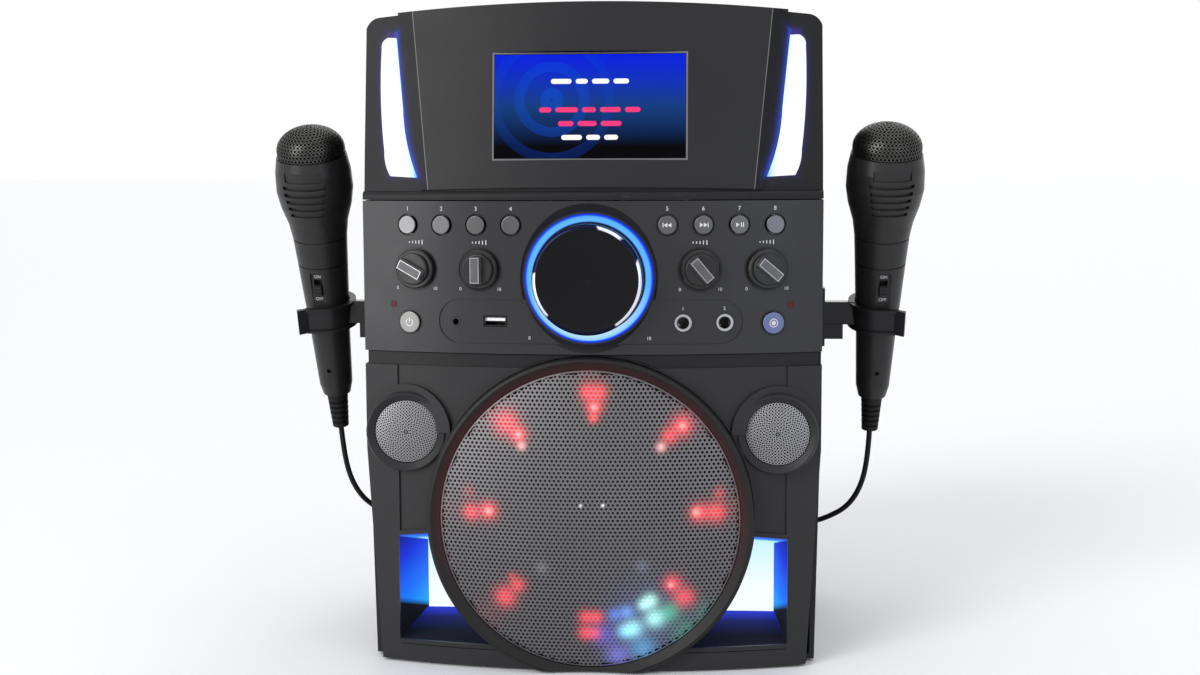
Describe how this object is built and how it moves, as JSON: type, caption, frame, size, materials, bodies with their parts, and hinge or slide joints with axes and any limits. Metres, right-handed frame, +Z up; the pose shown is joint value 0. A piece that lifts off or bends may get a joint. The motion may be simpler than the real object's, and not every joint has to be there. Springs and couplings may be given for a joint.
{
  "type": "karaoke machine",
  "caption": "Tower karaoke machine with a tilted screen, lit woofer, knob fascia, disc drive under a top lid and two corded microphones in side clips.",
  "frame": {"origin": "centre of the bounding box in plan, at the floor, without the microphone cords", "axes": "+Z up, the front faces -Y, +X to the viewer's right"},
  "size_m": [0.3972, 0.2919, 0.3908],
  "materials": {
    "charcoal_plastic": "satin moulded plastic",
    "gloss_black": "polished black plastic",
    "silver_grille": "perforated steel, silver paint",
    "clear_light": "milky clear plastic, lit from behind",
    "blue_light": "lit blue sheet",
    "board_green": "circuit board",
    "chrome": "polished",
    "steel": "plain",
    "paper_cone": "doped paper cone",
    "screen_glass": "dark display glass",
    "dark_rubber": "matte rubber",
    "mic_mesh": "woven steel, black",
    "cast_frame": "pressed frame and magnet, taken as one light metal"
  },
  "bodies": {
    "cabinet": {"cabinet_shell": "charcoal_plastic", "rear_panel": "charcoal_plastic", "rear_sockets": "gloss_black", "front_frame": "charcoal_plastic", "pocket_light_panels": "blue_light", "woofer_ring": "gloss_black", "woofer_grille": "silver_grille", "light_show_leds": "clear_light", "woofer_basket": "cast_frame", "woofer_cone": "paper_cone", "tweeter_grilles": "mic_mesh", "tweeters": "gloss_black", "control_fascia": "charcoal_plastic", "volume_light_ring": "blue_light", "front_sockets": "chrome", "control_board": "board_green", "potentiometers": "steel", "screen_head": "charcoal_plastic", "screen_cover": "charcoal_plastic", "screen_bezel": "gloss_black", "display": "screen_glass", "head_light_windows": "clear_light", "main_board": "board_green", "feet": "dark_rubber", "screws": "steel", "disc_tray": "charcoal_plastic", "disc_drive": "steel", "mic_clips": "gloss_black"},
    "button_1": {"button_1": "charcoal_plastic"},
    "button_2": {"button_2": "charcoal_plastic"},
    "button_3": {"button_3": "charcoal_plastic"},
    "button_4": {"button_4": "charcoal_plastic"},
    "button_5": {"button_5": "charcoal_plastic"},
    "button_6": {"button_6": "charcoal_plastic"},
    "button_7": {"button_7": "charcoal_plastic"},
    "button_8": {"button_8": "charcoal_plastic"},
    "power_button": {"power_button": "charcoal_plastic"},
    "record_button": {"record_button": "charcoal_plastic"},
    "knob_1": {"knob_1": "charcoal_plastic"},
    "knob_2": {"knob_2": "charcoal_plastic"},
    "knob_3": {"knob_3": "charcoal_plastic"},
    "knob_4": {"knob_4": "charcoal_plastic"},
    "master_volume_knob": {"master_volume_knob": "gloss_black"},
    "disc_lid": {"disc_lid": "charcoal_plastic"},
    "turntable": {"turntable": "gloss_black"},
    "laser_sled": {"laser_sled": "gloss_black"},
    "mic_left": {"mic_left_body": "charcoal_plastic", "mic_left_grille": "mic_mesh", "mic_left_boot": "dark_rubber", "mic_left_cord": "dark_rubber", "mic_left_coil": "dark_rubber", "mic_left_plug": "chrome"},
    "mic_left_switch": {"mic_left_switch": "gloss_black"},
    "mic_right": {"mic_right_body": "charcoal_plastic", "mic_right_grille": "mic_mesh", "mic_right_boot": "dark_rubber", "mic_right_cord": "dark_rubber", "mic_right_coil": "dark_rubber", "mic_right_plug": "chrome"},
    "mic_right_switch": {"mic_right_switch": "gloss_black"}
  },
  "joints": [
    {"name": "button_1_press", "type": "slide", "parent": "cabinet", "child": "button_1", "axis": [0.2484, 0.9687, 0], "range_m": [0, 0.0008], "stiffness_N_per_m": 600},
    {"name": "button_2_press", "type": "slide", "parent": "cabinet", "child": "button_2", "axis": [0.2005, 0.9797, 0], "range_m": [0, 0.0008], "stiffness_N_per_m": 600},
    {"name": "button_3_press", "type": "slide", "parent": "cabinet", "child": "button_3", "axis": [0.1526, 0.9883, 0], "range_m": [0, 0.0008], "stiffness_N_per_m": 600},
    {"name": "button_4_press", "type": "slide", "parent": "cabinet", "child": "button_4", "axis": [0.1047, 0.9945, 0], "range_m": [0, 0.0008], "stiffness_N_per_m": 600},
    {"name": "button_5_press", "type": "slide", "parent": "cabinet", "child": "button_5", "axis": [-0.1047, 0.9945, 0], "range_m": [0, 0.0008], "stiffness_N_per_m": 600},
    {"name": "button_6_press", "type": "slide", "parent": "cabinet", "child": "button_6", "axis": [-0.1526, 0.9883, 0], "range_m": [0, 0.0008], "stiffness_N_per_m": 600},
    {"name": "button_7_press", "type": "slide", "parent": "cabinet", "child": "button_7", "axis": [-0.2005, 0.9797, 0], "range_m": [0, 0.0008], "stiffness_N_per_m": 600},
    {"name": "button_8_press", "type": "slide", "parent": "cabinet", "child": "button_8", "axis": [-0.2484, 0.9687, 0], "range_m": [0, 0.0008], "stiffness_N_per_m": 600},
    {"name": "power_button_press", "type": "slide", "parent": "cabinet", "child": "power_button", "axis": [0.2465, 0.9691, 0], "range_m": [0, 0.0008], "stiffness_N_per_m": 600},
    {"name": "record_button_press", "type": "slide", "parent": "cabinet", "child": "record_button", "axis": [-0.2465, 0.9691, 0], "range_m": [0, 0.0008], "stiffness_N_per_m": 600},
    {"name": "knob_1_turn", "type": "hinge", "parent": "cabinet", "child": "knob_1", "pos_m": [-0.102, -0.07833, 0.2371], "axis": [-0.2372, -0.9715, 0], "range_deg": [-212, 88]},
    {"name": "knob_2_turn", "type": "hinge", "parent": "cabinet", "child": "knob_2", "pos_m": [-0.0637, -0.08586, 0.2371], "axis": [-0.1481, -0.989, 0], "range_deg": [-150, 150]},
    {"name": "knob_3_turn", "type": "hinge", "parent": "cabinet", "child": "knob_3", "pos_m": [0.0637, -0.08586, 0.2371], "axis": [0.1481, -0.989, 0], "range_deg": [-190, 110]},
    {"name": "knob_4_turn", "type": "hinge", "parent": "cabinet", "child": "knob_4", "pos_m": [0.102, -0.07833, 0.2371], "axis": [0.2372, -0.9715, 0], "range_deg": [-200, 100]},
    {"name": "master_volume_knob_turn", "type": "hinge", "parent": "cabinet", "child": "master_volume_knob", "pos_m": [0, -0.0906, 0.2322], "axis": [0, -1, 0], "range_deg": [-150, 150]},
    {"name": "disc_lid_hinge", "type": "hinge", "parent": "cabinet", "child": "disc_lid", "pos_m": [0, 0.0874, 0.385], "axis": [-1, 0, 0], "range_deg": [0, 75]},
    {"name": "turntable_spin", "type": "hinge", "parent": "cabinet", "child": "turntable", "pos_m": [0, 0.0269, 0.374], "axis": [0, 0, 1], "continuous": true},
    {"name": "laser_sled_slide", "type": "slide", "parent": "cabinet", "child": "laser_sled", "axis": [1, 0, 0], "range_m": [0, 0.032]},
    {"name": "mic_left_unclip", "type": "slide", "parent": "cabinet", "child": "mic_left", "axis": [-1, 0, 0], "range_m": [0, 0.065]},
    {"name": "mic_left_switch_slide", "type": "slide", "parent": "mic_left", "child": "mic_left_switch", "axis": [-0.0175, -0.284, 0.9587], "range_m": [0, 0.003]},
    {"name": "mic_right_unclip", "type": "slide", "parent": "cabinet", "child": "mic_right", "axis": [1, 0, 0], "range_m": [0, 0.065]},
    {"name": "mic_right_switch_slide", "type": "slide", "parent": "mic_right", "child": "mic_right_switch", "axis": [0.0175, -0.284, 0.9587], "range_m": [0, 0.003]}
  ]
}
